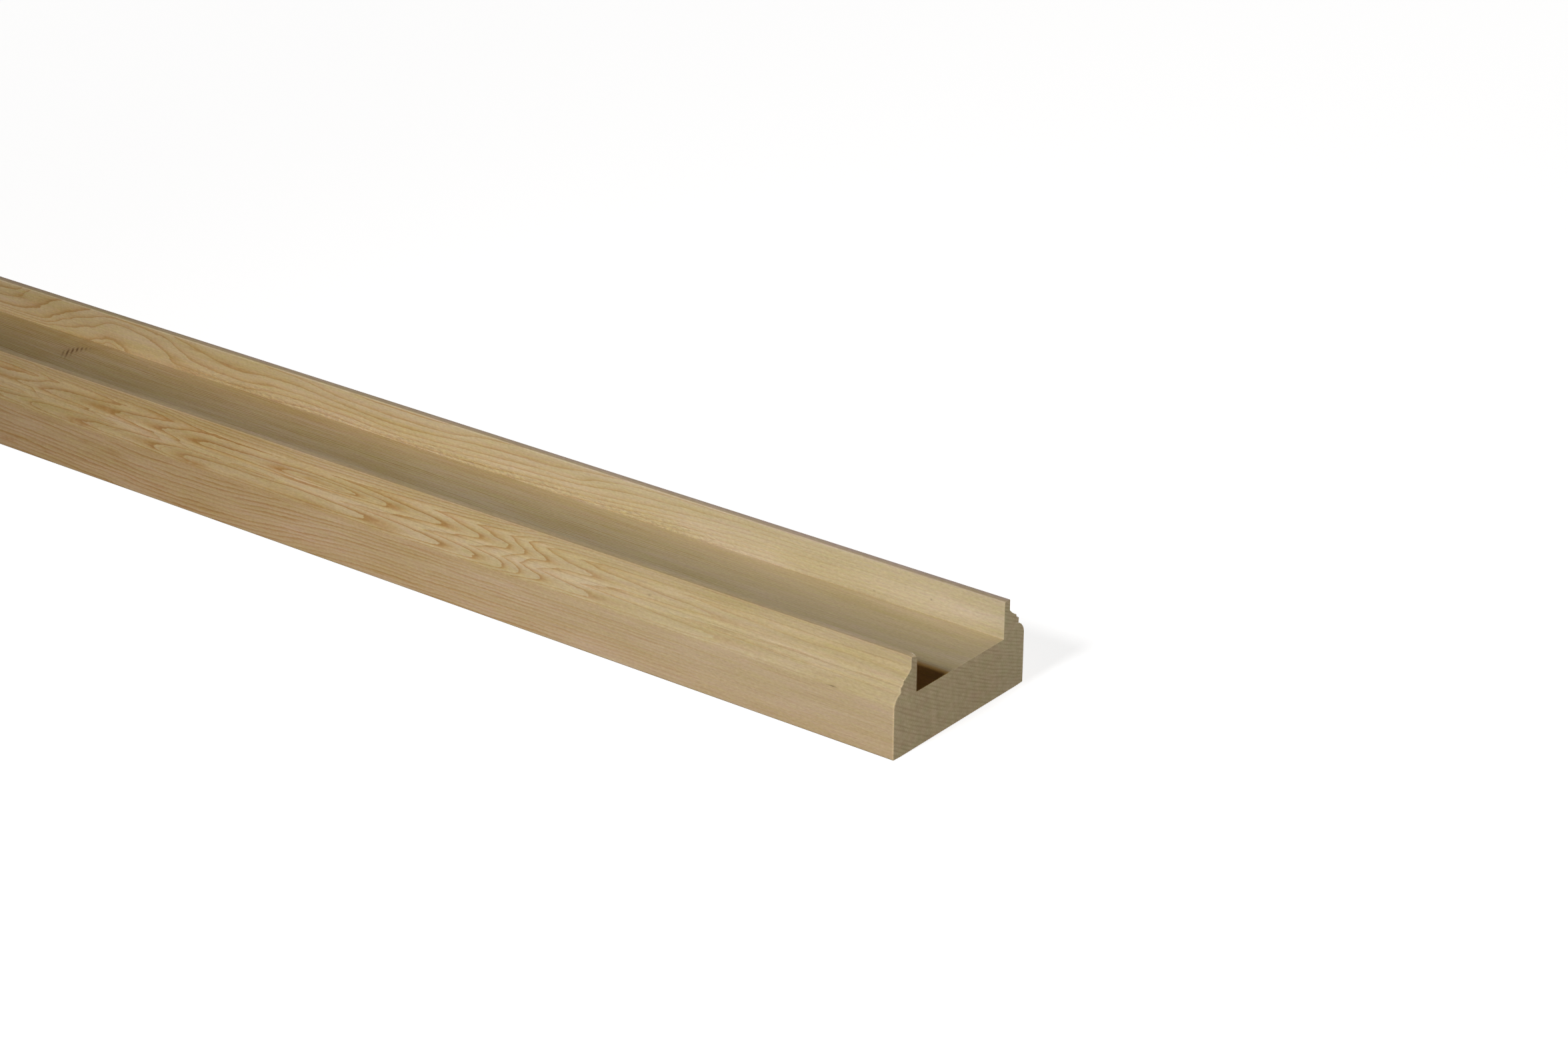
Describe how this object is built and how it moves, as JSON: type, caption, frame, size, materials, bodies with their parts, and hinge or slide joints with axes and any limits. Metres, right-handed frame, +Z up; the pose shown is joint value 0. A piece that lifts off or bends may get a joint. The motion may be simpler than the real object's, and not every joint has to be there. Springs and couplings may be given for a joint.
{
  "type": "stair base rail",
  "caption": "Moulded softwood stair base rail with a square-bottomed groove along its top for square spindles and a cove-and-ovolo moulding down each side.",
  "frame": {"origin": "middle of the flat underside, halfway along the rail", "axes": "+X along the rail towards the sawn end seen in the picture, +Y across the rail, +Z up out of the spindle groove"},
  "size_m": [2.4, 0.062, 0.0285],
  "materials": {
    "wood": "planed and sanded, unfinished"
  },
  "bodies": {
    "root": {"base_rail": "wood"}
  },
  "joints": []
}
